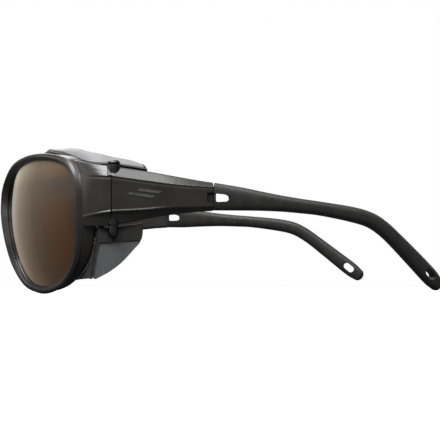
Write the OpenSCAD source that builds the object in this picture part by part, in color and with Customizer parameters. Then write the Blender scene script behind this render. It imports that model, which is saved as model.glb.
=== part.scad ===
// Glacier glasses: wrap-around front with base-8 lenses, folding temples with
// bendable rubber tips, adjustable nose pads and removable side shields.
// Millimetres. +X is the wearer's left, +Y runs back along the temples, +Z is up.
// The origin is on the symmetry plane, at the foremost plane of the front,
// level with the middle of the lenses.

/* [Lenses] */
// Radius of the front surface of a lens
lens_r = 68; // [66:0.5:72]
// Angle that each lens turns back from the front plane
wrap = 23.5; // [22.5:0.5:24.5]
// Angle that the top of each lens leans forward
lean = 5.5; // [5:0.5:6]
// Thickness of a lens
lens_t = 2.2; // [1.6:0.1:2.2]

/* [Front] */
// Width of the rim's front face, beyond the lens opening
rim_w = 2.5; // [2.4:0.1:3]
// How far the rim stands in front of the lens
rim_proud = 1.6; // [1.4:0.1:1.9]
// Depth of the groove that holds the lens
groove = 1.3; // [1.2:0.1:1.5]

/* [Temples] */
// Distance of each hinge axis from the symmetry plane
hinge_x = 66; // [66:0.1:66.2]
// Distance of the hinge axes behind the front plane
hinge_y = 41.7; // [41.7:0.1:41.8]
// Angle that the right temple's rubber tip is bent up, compared with the left
right_tip_lift = 3; // [0:0.5:4]
// Diameter of the soft metal wire in each rubber tip
wire_d = 1.8; // [1.4:0.1:2]

/* [Side shields] */
// Thickness of the mesh windows
window_t = 0.8; // [0.6:0.1:1]
// Thickness of the shield's black carrier
carrier_t = 1.2; // [1:0.1:1.3]

/* [Hidden] */
$fn = 48;

// Colours
black_nylon = [0.13, 0.125, 0.12];
black_rubber = [0.1, 0.1, 0.1];
steel = [0.62, 0.62, 0.64];
smoke = [0.42, 0.44, 0.46, 0.8];
brown_lens = [0.36, 0.25, 0.16, 0.85];

// ---------------------------------------------------------------- vectors and lofts
function unit(v) = v / norm(v);
function lerp(a, b, t) = a + (b - a) * t;
function clamp(x, lo = 0, hi = 1) = min(hi, max(lo, x));

// Value at x of the line through the [x, value] rows of a table; a value can be a vector
function along(rows, x, i = 0) =
    i >= len(rows) - 2 || x < rows[i + 1][0]
        ? lerp(rows[i][1], rows[i + 1][1],
               clamp((x - rows[i][0]) / (rows[i + 1][0] - rows[i][0])))
        : along(rows, x, i + 1);

// Catmull-Rom curve through four points
function curve(a, b, c, d, t) =
    0.5 * (2 * b + (c - a) * t + (2 * a - 5 * b + 4 * c - d) * t * t
           + (3 * b - a - 3 * c + d) * t * t * t);
// Closed curve through points, steps samples per span
function ring(pts, steps) = let (n = len(pts))
    [for (i = [0:n - 1]) for (k = [0:steps - 1])
        curve(pts[(i + n - 1) % n], pts[i], pts[(i + 1) % n], pts[(i + 2) % n], k / steps)];
// Open curve through points, steps samples per span
function path(pts, steps) = let (n = len(pts))
    concat([for (i = [0:n - 2]) for (k = [0:steps - 1])
        curve(pts[max(i - 1, 0)], pts[i], pts[i + 1], pts[min(i + 2, n - 1)], k / steps)],
        [pts[n - 1]]);

// Six times the signed volume inside a list of triangular faces
function signed_volume(p, faces) =
    let (parts = [for (f = faces) cross(p[f[0]], p[f[1]]) * p[f[2]]]) parts * [for (v = parts) 1];
// Closed solid from points and triangles, with the triangles turned to face outwards
module solid(p, faces) {
    inside_out = signed_volume(p, faces) > 0;
    polyhedron(p, inside_out ? [for (f = faces) [f[0], f[2], f[1]]] : faces, convexity = 10);
}

// Solid skin over rows of points, each row a closed section. The two ends are closed flat,
// or, for a strip, where each row goes out along one face and back along the other, in steps.
module skin(rows, closed = false, strip = false) {
    n = len(rows);
    m = len(rows[0]);
    last = (n - 1) * m;
    half = m / 2;
    sides = [for (i = [0:n - (closed ? 1 : 2)]) for (j = [0:m - 1])
        let (
            a = i * m + j,
            b = i * m + (j + 1) % m,
            c = ((i + 1) % n) * m + (j + 1) % m,
            d = ((i + 1) % n) * m + j
        )
        each [[a, b, c], [a, c, d]]];
    flat_ends = [for (j = [1:m - 2]) each [[0, j + 1, j], [last, last + j, last + j + 1]]];
    strip_ends = [for (j = [0:half - 2]) let (k = m - 1 - j) each
        [[j, k, k - 1], [j, k - 1, j + 1], [last + j, last + k - 1, last + k], [last + j, last + j + 1, last + k - 1]]];
    solid([for (row = rows) each row], concat(sides, closed ? [] : strip ? strip_ends : flat_ends));
}

// Sheet between two faces, lo and hi away from the rows of points along push, one direction per row
module sheet(rows, push, lo, hi) {
    skin([for (i = [0:len(rows) - 1]) let (row = rows[i]) concat(
        [for (p = row) p + push[i] * lo],
        [for (j = [len(row) - 1:-1:0]) row[j] + push[i] * hi])], strip = true);
}

// Closed polygon grown by g
function grown(pts, g) = let (n = len(pts)) [for (i = [0:n - 1]) let (
        a = unit(pts[i] - pts[(i + n - 1) % n]),
        b = unit(pts[(i + 1) % n] - pts[i]),
        na = [a[1], -a[0]],
        nb = [b[1], -b[0]]
    ) pts[i] + g * (na + nb) / (1 + na * nb)];

module other_side() {
    mirror([1, 0, 0]) children();
}

// ---------------------------------------------------------------- lens surface
level_out = [sin(wrap), -cos(wrap), 0];
lens_across = [cos(wrap), sin(wrap), 0];
lens_out = cos(lean) * level_out - sin(lean) * [0, 0, 1];
lens_up = cos(lean) * [0, 0, 1] + sin(lean) * level_out;
lens_apex = [38.4, 10.5, 0.15];
lens_centre = lens_apex - lens_r * lens_out;

// Outline of the lens opening: across from nose to temple, then up
opening = [[28.9, 2], [28.1, 11.5], [23.1, 19.3], [12.9, 22.4], [-1, 23.1], [-13.9, 21.3], [-21.9, 17.6],
           [-27.2, 11.1], [-26.2, 2.7], [-23.5, -6.2], [-20.2, -14.5], [-13.4, -21.8], [-4, -24.9], [6, -24.9],
           [15.8, -22.2], [23.4, -16.2], [27.4, -7.8]];
span_steps = 5;
outline = ring(opening, span_steps);
n_out = len(outline);
function outline_normal(i) = let (d = outline[(i + 1) % n_out] - outline[(i + n_out - 1) % n_out]) unit([d[1], -d[0]]);

// Point t in front of the lens surface, at q = [across, up]
function on_lens(q, t = 0) =
    lens_centre + (1 + t / lens_r) * (q[0] * lens_across + q[1] * lens_up
        + sqrt(lens_r * lens_r - q[0] * q[0] - q[1] * q[1]) * lens_out);
// Point r outside the opening and t in front of the lens surface
function by_rim(i, r, t) = on_lens(outline[i] + r * outline_normal(i), t);
function set_y(p, y) = [p[0], y, p[2]];

// ---------------------------------------------------------------- front
function nasal(i) = pow(clamp(-outline[i][0] / 27), 2);
function temporal(i) = pow(clamp(outline[i][0] / 29), 2);
function lower(i) = pow(clamp(-outline[i][1] / 23), 2);
function upper(i) = pow(clamp(outline[i][1] / 23), 2);

function rim_width(i) = rim_w + 0.8 * nasal(i) + 0.2 * upper(i);
function rim_back(i) = by_rim(i, 0, 0)[1] + 5.2 + 2.6 * temporal(i) - 0.6 * nasal(i) - 1.7 * lower(i);

module rim() {
    skin([for (i = [0:n_out - 1])
        let (
            w = rim_width(i),
            front = rim_proud + 2.95 * nasal(i) - 1.1 * temporal(i) + 0.4 * lower(i),
            back = rim_back(i),
            seat = -lens_t - 0.1
        )
        [by_rim(i, 0, -0.02), by_rim(i, 0, 0.3), by_rim(i, 0.35, 0.45 * front), by_rim(i, 1.3, front),
         by_rim(i, w - 0.9, front), by_rim(i, w - 0.15, front - 0.7), by_rim(i, w, -0.4),
         set_y(by_rim(i, w, -0.4), back - 0.7), set_y(by_rim(i, w - 0.7, -1), back),
         set_y(by_rim(i, 0.9, seat - 0.5), back), set_y(by_rim(i, 0.1, seat - 0.5), back - 0.7),
         by_rim(i, 0, seat - 0.4), by_rim(i, 0, seat), by_rim(i, groove, seat), by_rim(i, groove, -0.02)]],
        closed = true);
}

// Bridge over the nose: sections across the nose, each an eight-sided ring
module bridge() {
    stations = [[-9, [10.6, 8.3]], [-6, [11.2, 6.4]], [-2.5, [12, 5]], [2.5, [12, 5]], [6, [11.2, 6.4]], [9, [10.6, 8.3]]];
    skin([for (x = [-9:1.8:9])
        let (
            s = along(stations, x),
            zc = s[0],
            h = s[1],
            y0 = 0.9 + 0.012 * (x * x - 60) * (abs(x) > 7.7 ? 1 : 0),
            y1 = 6.4 + 0.02 * x * x
        )
        [[x, y0 + 1.4, zc - h], [x, y0, zc - h + 1.8], [x, y0, zc + h - 1.8], [x, y0 + 1.4, zc + h],
         [x, y1 - 1.2, zc + h], [x, y1, zc + h - 1.4], [x, y1, zc - h + 1.4], [x, y1 - 1.2, zc - h]]]);
}

// Section of the lug and of the rigid arm: outer face, sloping upper and lower chamfers, inner face
function beam(y, xo, xi, top, face_top, face_low, low, slope = 1.9, edge = 0.8) =
    [[xi, y, low + edge], [xi, y, top - edge], [xi + edge, y, top], [xo - slope, y, top], [xo - 0.15, y, face_top],
     [xo, y, face_top - 0.5], [xo, y, face_low + 0.5], [xo - 0.15, y, face_low], [xo - slope, y, low],
     [xi + edge, y, low]];

seam_y = 40.7;
seam_gap = 0.2;
face_x = 69.1;
arm_inner_x = 63.7;

// Point k control points along the rim's outline, r in from the rim's outer edge
function rim_edge(k, r, t) = let (s = k * span_steps + n_out, i = floor(s), a = i % n_out, b = (i + 1) % n_out)
    lerp(by_rim(a, rim_width(a) - r, t), by_rim(b, rim_width(b) - r, t), s - i);

// The lug flares from the rim's outer wall to the seam with the arm. Lines along it: place on the rim's
// outline, how far behind the lip it starts, and X and Z where it meets the seam.
lug_lines = [[-0.52, 0.3, 67, -2.5], [-0.13, 0.3, 68.95, 3.2], [-0.03, 0.3, face_x, 3.7], [0.7, 0.3, face_x, 9.6],
             [1.33, 0.7, face_x, 15.4], [1.4, 0.8, 68.95, 15.9], [1.7, 0.6, 68.3, 17.4], [2, 0.4, 67.7, 18.7],
             [2.3, 0.3, 67.2, 19.7], [2.6, 0.3, 64.5, 19.7]];
function bent(a, b, t) = let (m = [lerp(a[0], b[0], 0.72), lerp(a[1], b[1], 0.42), lerp(a[2], b[2], 0.55)])
    lerp(lerp(a, m, t), lerp(m, b, t), t);
module lug() {
    end_y = seam_y - seam_gap / 2;
    last = len(lug_lines) - 1;
    skin([for (t = [0:0.125:1]) concat(
        [for (l = lug_lines) bent(rim_edge(l[0], 0.1, -0.5) + [0, l[1], 0], [l[2], end_y, l[3]], t)],
        [for (j = [last:-1:0]) let (l = lug_lines[j])
            bent(rim_edge(l[0], 1.6, -2.6) + [0, l[1], 0], [arm_inner_x, end_y, clamp(l[3], -1.7, 18.9)], t)])],
        strip = true);
}

// ---------------------------------------------------------------- hinge
pin_r = 0.9;
bore_r = pin_r + 0.05;
knuckle_r = 2.3;
head_r = 2.45;
nut_r = 2.1;
hinge_low = 3.3;
hinge_high = 15.3;
knuckle_h = 2.8;
knuckle_gap = 0.1;
leaf_t = 1.8;
leaf_front = 37;
room = 0.2;

module at_hinge() {
    translate([hinge_x, hinge_y, 0]) children();
}
module post(r, z0, z1) {
    translate([0, 0, z0]) cylinder(r = r, h = z1 - z0);
}

// Space that the hinge needs in the front and in the arm
module hinge_room() {
    at_hinge() {
        post(knuckle_r + room, hinge_low - 0.1, hinge_high + 0.1);
        post(head_r + 0.15, hinge_high, 25);
        post(nut_r + 0.15, -9, hinge_low);
    }
}

module front_leaf() {
    color(steel) difference() {
        union() {
            at_hinge() {
                post(knuckle_r, hinge_low, hinge_low + knuckle_h);
                post(knuckle_r, hinge_high - knuckle_h, hinge_high);
            }
            translate([hinge_x - leaf_t / 2, leaf_front, hinge_low])
                cube([leaf_t, hinge_y - leaf_front, hinge_high - hinge_low]);
        }
        at_hinge() {
            post(bore_r, 0, 20);
            post(knuckle_r + room, hinge_low + knuckle_h, hinge_high - knuckle_h);
        }
    }
}

module arm_leaf() {
    low = hinge_low + knuckle_h + knuckle_gap;
    high = hinge_high - knuckle_h - knuckle_gap;
    color(steel) difference() {
        union() {
            at_hinge() post(knuckle_r, low, high);
            translate([hinge_x - leaf_t / 2, hinge_y, low]) cube([leaf_t, 9, high - low]);
        }
        at_hinge() post(bore_r, 0, 20);
    }
}

// Pin with a domed head; the groove in the head holds the shield's clip
clip_low = 20.15;
clip_high = 20.95;
clip_seat_r = 1.5;
module hinge_pin() {
    color([0.2, 0.2, 0.21]) at_hinge() rotate_extrude()
        polygon([[0, -1], [pin_r, -1], [pin_r, hinge_high + 0.15], [head_r, hinge_high + 0.15],
                 [head_r, clip_low], [clip_seat_r, clip_low], [clip_seat_r, clip_high], [head_r - 0.1, clip_high],
                 [head_r - 0.25, clip_high + 0.5], [head_r - 0.9, clip_high + 1], [0, clip_high + 1.25]]);
}

// Domed nut under the hinge, with the peg that the shield's lower notch snaps on
peg_r = 1.7;
peg_top = -2.4;
peg_end = -6.4;
module hinge_nut() {
    color([0.2, 0.2, 0.21]) at_hinge() difference() {
        union() {
            rotate_extrude() polygon([[0, peg_top - 1], [peg_r, peg_top - 1], [peg_r, peg_top], [nut_r - 0.3, peg_top + 0.2],
                                      [nut_r, peg_top + 0.8], [nut_r, hinge_low - 0.15], [0, hinge_low - 0.15]]);
            post(peg_r, peg_end + peg_r, peg_top);
            translate([0, 0, peg_end + peg_r]) sphere(r = peg_r);
        }
        post(bore_r, -1.1, hinge_low);
    }
}

// Pocket for a hinge leaf's plate
module leaf_pocket(y0, y1, z0, z1) {
    slack = 0.05;
    translate([hinge_x - leaf_t / 2 - slack, y0 - slack, z0 - slack])
        cube([leaf_t + 2 * slack, y1 - y0 + 2 * slack, z1 - z0 + 2 * slack]);
}

// Boss behind the nasal rim for the nose-pad arm
nose_root = [10.2, 9.2, 3.5];
nose_wire_r = 0.6;
module nose_boss() {
    translate(nose_root - [0, 2.2, 0]) rotate([-90, 0, 0]) cylinder(r = 1.7, h = 3.2);
}
module nose_socket() {
    translate(nose_root - [0, 0.6, 0]) rotate([-90, 0, 0]) cylinder(r = nose_wire_r + 0.3, h = 3);
}

module front_half() {
    difference() {
        union() {
            rim();
            lug();
            nose_boss();
        }
        hinge_room();
        leaf_pocket(leaf_front, seam_y + 1, hinge_low, hinge_high);
        translate([50, seam_y - 1.7, -10]) cube([hinge_x + 0.2 - 50, 10, 40]);
        translate([50, seam_y - 1.5, 15.9]) cube([30, 10, 10]);
        nose_socket();
    }
}

module front_frame() {
    color(black_nylon) {
        front_half();
        mirror([1, 0, 0]) front_half();
        bridge();
    }
}

// Lens: two faces of rings that shrink to the middle, joined round the edge
module lens() {
    rings = [1, 0.85, 0.6, 0.3];
    edge = [for (i = [0:n_out - 1]) outline[i] + (groove - 0.1) * outline_normal(i)];
    m = n_out;
    n = len(rings);
    other = n * m + 1;
    function face_points(t) = concat([for (k = rings) for (q = edge) on_lens(q * k, t)], [on_lens([0, 0], t)]);
    function face(o) = concat(
        [for (k = [0:n - 2]) for (i = [0:m - 1])
            let (a = o + k * m + i, b = o + k * m + (i + 1) % m)
            each [[a, b, b + m], [a, b + m, a + m]]],
        [for (i = [0:m - 1]) [o + (n - 1) * m + i, o + (n - 1) * m + (i + 1) % m, o + n * m]]);
    function turned(faces) = [for (f = faces) [f[0], f[2], f[1]]];
    wall = [for (i = [0:m - 1]) let (j = (i + 1) % m) each [[i, other + i, other + j], [i, other + j, j]]];
    color(brown_lens)
        solid(concat(face_points(-0.1), face_points(-lens_t)), concat(face(0), turned(face(other)), wall));
}

// ---------------------------------------------------------------- nose pads
pad_at = [9.6, 16.2, -2.5];
module at_pad() {
    translate(pad_at) rotate([0, -20, 0]) rotate([0, 0, 28]) children();
}
// Bendable wire from the front to a small plate that sits inside the pad
module nose_arm() {
    pts = path([[10.2, 8.8, 3.5], [10.4, 11.5, 3.2], [11.9, 13.6, 1.2], [11.3, 15.6, -1.4], [10.1, 16, -2.5]], 3);
    color(steel) {
        skin([for (i = [0:len(pts) - 1]) let (
            d = heading(pts, i),
            a = unit(cross(d, [1, 0, 0.2])),
            c = cross(d, a))
            [for (k = [0:7]) pts[i] + nose_wire_r * (cos(45 * k) * a + sin(45 * k) * c)]]);
        at_pad() translate([0.2, -1.4, -2.4]) cube([0.6, 2.8, 4.8]);
    }
}
module nose_pad() {
    color(black_rubber) difference() {
        at_pad() scale([0.36, 0.95, 1]) hull() {
            translate([0, 0, -3.6]) sphere(r = 4.3, $fn = 24);
            translate([0, 0.4, 3.8]) sphere(r = 3.2, $fn = 24);
        }
        nose_arm();
    }
}

// ---------------------------------------------------------------- temples
// Rigid arm: [y, outer x, inner x, top, top of the face, bottom of the face, bottom]
arm_sections = [
    [seam_y + seam_gap / 2, face_x, arm_inner_x, 19.7, 15.9, 3.2, -2.5],
    [47, face_x, 64.6, 18.95, 15.05, 3.6, -1.1],
    [54, face_x, 65.1, 18.1, 14.2, 4.0, 0.3],
    [60, face_x, 65.3, 17.1, 13.5, 4.4, 1.4],
    [66, face_x, 65.4, 16.1, 12.9, 4.8, 2.3],
    [73, 69.0, 65.5, 15.0, 12.6, 5.1, 3.1],
    [78.9, 68.8, 65.6, 14.2, 12.4, 5.3, 3.5]
];
loop_x = 66.1;
loop_t = 2.2;

// Outline of the eyelet at the arm's rear end, grown by g
module loop_outline(g = 0) {
    hull() {
        translate([78.5, 8.7]) circle(r = 3.2 + g, $fn = 32);
        translate([84.7, 8.35]) circle(r = 2.6 + g, $fn = 32);
    }
}
module slot_outline() {
    hull() {
        translate([81.3, 8.5]) circle(r = 1.65, $fn = 32);
        translate([83.8, 8.4]) circle(r = 1.25, $fn = 32);
        translate([79.9, 6.85]) square([0.5, 3.3]);
    }
}
// Extrudes a [y, z] outline along X
module along_x(x, t) {
    translate([x, 0, 0]) rotate([90, 0, 90]) linear_extrude(t) children();
}

module badge_outline() {
    translate([52.6, 9.9]) rotate(-7) {
        polygon([[-6.2, -1.5], [3.2, -1.5], [4.2, -0.6], [-5.2, -0.6]]);
        polygon([[-2.4, 0.4], [5.6, 0.4], [6.6, 1.3], [-1.4, 1.3]]);
    }
}
badge_in = 0.35;
badge_proud = 0.12;

// Part of the arm's upper chamfer that reaches forward over the lug
module arm_brow() {
    intersection() {
        skin([beam(38, 68.7, 63.4, 20.05, 16.3, 2.6, -2.6), beam(42, face_x, 63.7, 19.55, 15.8, 3.2, -2.4)]);
        translate([hinge_x, seam_y - 1.3, 16.1]) cube([10, 1.6, 10]);
    }
}
// Shallow step round the front of the eyelet's slot
module recess_outline() {
    translate([76.3, 6.75]) square([5.2, 3.6]);
}

module arm() {
    color(black_nylon) difference() {
        union() {
            skin([for (s = arm_sections) beam(s[0], s[1], s[2], s[3], s[4], s[5], s[6])]);
            along_x(loop_x, loop_t) loop_outline();
            arm_brow();
        }
        along_x(68.0, 5) recess_outline();
        along_x(60, 20) slot_outline();
        hinge_room();
        leaf_pocket(hinge_y, hinge_y + 9, hinge_low + knuckle_h + knuckle_gap, hinge_high - knuckle_h - knuckle_gap);
        translate([50, 30, -10]) cube([hinge_x - 50, hinge_y - 30, 40]);
        along_x(face_x - badge_in, 2) badge_outline();
        translate([loop_x + loop_t / 2, 85.6, 8.35]) rotate([-90, 0, 0]) cylinder(r = wire_d / 2 + 0.1, h = 5);
    }
}

module badge() {
    color(steel) along_x(face_x - badge_in, badge_in + badge_proud) badge_outline();
}

// Centre line of the rubber tip: [x, y, z], and its half-height and half-width
tip_line = [[67.2, 79, 8.9], [67.3, 89.2, 8.15], [67.3, 97, 7.4], [67.0, 105, 6.6], [66.5, 113, 5.75], [66.0, 121, 4.85],
            [65.2, 133, 2.9], [64.3, 140.5, 0.9], [63.4, 145.8, -2.1], [62.2, 151, -6.3], [59.8, 160, -14.4],
            [57.6, 167, -20.8], [56.4, 170.2, -23.7]];
tip_size = [[5.25, 1.6], [4.45, 1.9], [3.7, 2.0], [3.1, 2.15], [2.8, 2.3], [2.7, 2.35], [2.95, 2.45], [3.0, 2.5],
            [3.0, 2.5], [3.0, 2.5], [3.3, 2.5], [3.45, 2.3], [2.9, 1.9]];
tip_steps = 2;
bend_start = 87;

// Turns a point of the tip up about the end of the rigid arm
function lifted(p, a) = p[1] <= bend_start ? p
    : let (y = p[1] - bend_start, z = p[2] - 8.3)
      [p[0], bend_start + y * cos(a) - z * sin(a), 8.3 + y * sin(a) + z * cos(a)];
function tip_path(a) = [for (p = path(tip_line, tip_steps)) lifted(p, a)];

// Rounded section around a point, in the plane across direction d
function oval(p, d, h, w, n = 16) = let (side = unit(cross([0, 0, 1], d)), up = cross(d, side))
    [for (k = [0:n - 1]) let (c = cos(360 * k / n), s = sin(360 * k / n))
        p + side * (w * sign(c) * pow(abs(c), 0.8)) + up * (h * sign(s) * pow(abs(s), 0.8))];
function heading(pts, i) = unit(pts[min(i + 1, len(pts) - 1)] - pts[max(i - 1, 0)]);

module tip_body(a) {
    pts = tip_path(a);
    sizes = path(tip_size, tip_steps);
    n = len(pts);
    // The end closes in a rounded nose of shrinking sections
    nose = [for (k = [25, 50, 70, 85]) [pts[n - 1] + heading(pts, n - 1) * 2.4 * sin(k), cos(k)]];
    skin(concat(
        [for (i = [0:n - 1]) oval(pts[i], heading(pts, i), sizes[i][0], sizes[i][1])],
        [for (q = nose) oval(q[0], heading(pts, n - 1), sizes[n - 1][0] * q[1], sizes[n - 1][1] * q[1])]));
}
// Oval hole for a cord, through the end of the tip
module cord_slot(a) {
    at = lifted([57.9, 166, -19.9], a);
    translate(at) rotate([-42.5 + a, 0, 0]) rotate([0, 0, 17]) hull() {
        translate([0, -1.25, 0]) rotate([0, 90, 0]) cylinder(r = 1.5, h = 12, center = true, $fn = 32);
        translate([0, 1.25, 0]) rotate([0, 90, 0]) cylinder(r = 1.5, h = 12, center = true, $fn = 32);
    }
}

wire_line_end = 160;
module wire(a, g = 0) {
    pts = [for (p = tip_path(a)) if (p[1] > 87.2 && p[1] < wire_line_end) p];
    root = [[loop_x + loop_t / 2, 85.7, 8.35], [loop_x + loop_t / 2, 87.4, 8.35]];
    line = concat(root, pts);
    skin([for (i = [0:len(line) - 1])
        oval(line[i], i < 2 ? [0, 1, 0] : heading(line, i), wire_d / 2 + g, wire_d / 2 + g, 10)]);
}
module core_wire(a) {
    color(steel) wire(a);
}
module temple_sleeve(a) {
    color(black_rubber) difference() {
        tip_body(a);
        along_x(loop_x - 0.1, loop_t + 0.2) loop_outline(0.1);
        along_x(60, 20) slot_outline();
        along_x(60, 20) translate([70, -5]) square([8.95, 30]);
        cord_slot(a);
        wire(a, 0.05);
    }
}

// ---------------------------------------------------------------- side shields
// Brow window: lower and upper edges, from the rear end round to the brow
brow_low = [[63.6, 54.3, 18.9], [63.2, 48, 19.9], [62.75, 41.7, 20.8], [62.4, 36.6, 21.5], [61.0, 33.4, 22.4],
            [57.4, 31.4, 23.4], [52, 28.7, 25.1], [46, 25.1, 26.8], [40, 22, 27.6], [35, 20, 28], [31, 18.3, 28.1]];
brow_high = [[62.3, 52.9, 20.7], [60.9, 48.9, 22.4], [60, 42, 23.7], [59.4, 38, 24.7], [57.6, 35.4, 25.4],
             [54.4, 33, 26.4], [49.5, 30.2, 27.7], [44.5, 27.1, 28.5], [39, 24, 28.6], [34.4, 21.9, 28.9], [30.6, 20.2, 28.9]];
brow_steps = 2;
brow_a = path(brow_low, brow_steps);
brow_b = path(brow_high, brow_steps);
n_brow = len(brow_a);
function brow_rise(i) = unit(brow_b[i] - brow_a[i]);
function brow_push(i) = unit(cross(heading(brow_a, i), brow_b[i] - brow_a[i]));
// Row of points up the sheet at station i, from lo to hi millimetres above its lower edge
function brow_row(i, lo, hi, steps) = let (h = norm(brow_b[i] - brow_a[i])) [for (k = [0:steps])
    let (d = lerp(lo, hi, k / steps))
    brow_a[i] + d * brow_rise(i) - 0.4 * sin(180 * clamp(d / h)) * brow_push(i)];
// Stations i0 to i1 of the sheet, from lo above its lower edge to over above its upper edge
module brow_sheet(i0, i1, lo, over, t) {
    sheet([for (i = [i0:i1]) brow_row(i, lo, norm(brow_b[i] - brow_a[i]) + over, 4)],
          [for (i = [i0:i1]) brow_push(i)], -t / 2, t / 2);
}
// Rail along the lower edge
module brow_rail(t) {
    sheet([for (i = [0:n_brow - 1]) brow_row(i, -0.5, 0.5, 1)], [for (i = [0:n_brow - 1]) brow_push(i)], -t / 2, t / 2);
}
module brow_window() {
    color(smoke) brow_sheet(0, n_brow - 1, 0, 0, window_t);
}

// Cheek flap: a flat plate below the temple, leaning outwards at the top. [y, z] from its front corner.
// The window's upper and front edges sit in a rebate behind the frame's face.
flap_frame = [[-0.6, 5.75], [-0.9, 1.5], [-1.5, -3.4], [-2.7, -11.0], [-3.1, -12.6], [-2.6, -12.9], [-2.0, -12.2],
              [-0.9, -4.4], [0.1, 0.1], [15.6, 1.4], [16.0, 3.5], [16.1, 7.7], [10.3, 6.6], [5, 5.85]];
flap_window = [[-0.6, 0.8], [-1.6, -4.4], [-2.65, -12.0], [-2.2, -13.3], [-1.3, -13.7], [2.9, -11.5], [7.0, -8.6],
               [10.1, -5.6], [12.8, -2.3], [15.2, 0.3], [15.5, 2.1]];
window_face = 0.35;
module flap(x0, x1) {
    translate([64.3, 36.7, -8.6]) rotate([0, 8, 0]) rotate([0, 0, -3.7]) along_x(x0, x1 - x0) children();
}
module cheek_window() {
    color(smoke) flap(-window_face - window_t, -window_face) polygon(flap_window);
}

// Web between the front rib of the flap and the back of the rim
rib_edge = [[-12.6, -2.9], [-11, -2.5], [-3.4, -1.3], [1.5, -0.7], [5.7, -0.4]];
function on_flap(y, z) = [64.3 - 0.6 * cos(8) + y * sin(3.7) + z * sin(8), 36.7 + y, -8.6 + z * cos(8)];
function web_row(k) = let (
        i = round(k * span_steps) + n_out,
        q = set_y(rim_edge(k, 0.7, -0.6), rim_back(i % n_out) + 0.7),
        z = max((q[2] + 8.6) / cos(8), -12.8),
        p = on_flap(along(rib_edge, z), z)
    ) [for (t = [0:0.25:1]) lerp(p, q, t) + [0.5 * sin(180 * t), 0, 0]];
module web() {
    rows = [for (k = [-0.8:-0.2:-2.4]) web_row(k)];
    middle = [for (r = rows) r[2]];
    sheet(rows, [for (i = [0:len(rows) - 1]) unit(cross(heading(middle, i), rows[i][4] - rows[i][0]))], -0.5, 0.5);
}

// Black carrier: the frame along the top and front of the cheek window, a strut inside the lug, a clip for the head of the
// hinge pin, and a rail with two end caps that holds the brow window
module shield_carrier() {
    color(black_nylon) difference() {
        union() {
            difference() {
                union() {
                    flap(-carrier_t, 0) polygon(flap_frame);
                    web();
                    // hook behind the rim
                    translate([59.6, 33.2, -21.9]) cube([2.7, 1.2, 1.2]);
                }
                flap(-carrier_t - 1, 0.05 - window_face) polygon(grown(flap_window, 0.05));
                translate([55, hinge_y, peg_end + 1.6]) rotate([0, 90, 0]) cylinder(r = peg_r + 0.15, h = 20);
                translate([55, hinge_y - peg_r - 0.15, peg_end + 1.6]) cube([20, 2 * peg_r + 0.3, 10]);
            }
            // strut inside the lug, with a foot on the flap
            translate([60, 36.5, -6.8]) cube([1.2, 2.3, 27.7]);
            translate([60, 36.5, -6.8]) cube([3.9, 2.3, 3]);
            // clip
            translate([60, 36.5, clip_low + 0.05]) cube([1.2, 7.5, clip_high - clip_low - 0.1]);
            difference() {
                translate([60, hinge_y - 2.35, clip_low + 0.05])
                    cube([hinge_x + 1 - 60, 4.7, clip_high - clip_low - 0.1]);
                at_hinge() post(clip_seat_r + 0.05, 15, 25);
                translate([hinge_x, hinge_y - clip_seat_r - 0.05, 15]) cube([5, 2 * clip_seat_r + 0.1, 10]);
            }
            brow_rail(1.4);
            brow_sheet(0, 1, -0.5, 0, 1.8);
            brow_sheet(n_brow - 2, n_brow - 1, -0.5, 0.5, 1.8);
        }
        brow_sheet(0, n_brow - 1, -0.1, 0.1, window_t + 0.2);
    }
}

front_frame();
lens();  // left_lens
other_side() lens();  // right_lens
nose_arm();  // left_nose_arm
other_side() nose_arm();  // right_nose_arm
nose_pad();  // left_nose_pad
other_side() nose_pad();  // right_nose_pad
front_leaf();  // left_front_hinge_leaf
other_side() front_leaf();  // right_front_hinge_leaf
hinge_pin();  // left_hinge_pin
other_side() hinge_pin();  // right_hinge_pin
hinge_nut();  // left_hinge_nut
other_side() hinge_nut();  // right_hinge_nut
arm();  // left_arm
other_side() arm();  // right_arm
arm_leaf();  // left_arm_hinge_leaf
other_side() arm_leaf();  // right_arm_hinge_leaf
badge();  // left_badge
other_side() badge();  // right_badge
core_wire(0);  // left_core_wire
other_side() core_wire(right_tip_lift);  // right_core_wire
temple_sleeve(0);  // left_temple_sleeve
other_side() temple_sleeve(right_tip_lift);  // right_temple_sleeve
shield_carrier();  // left_shield_carrier
other_side() shield_carrier();  // right_shield_carrier
brow_window();  // left_brow_window
other_side() brow_window();  // right_brow_window
cheek_window();  // left_cheek_window
other_side() cheek_window();  // right_cheek_window
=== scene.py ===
"""Glacier glasses: the visual model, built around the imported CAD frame.

Shape code works in millimetres in the row frame (+X the wearer's left, +Y back, +Z up).
finished() turns each mesh to metres. The left side is built and mirrored to the right.
"""
import math

import bmesh
import bpy
import numpy as np
from mathutils import Matrix, Vector

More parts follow.
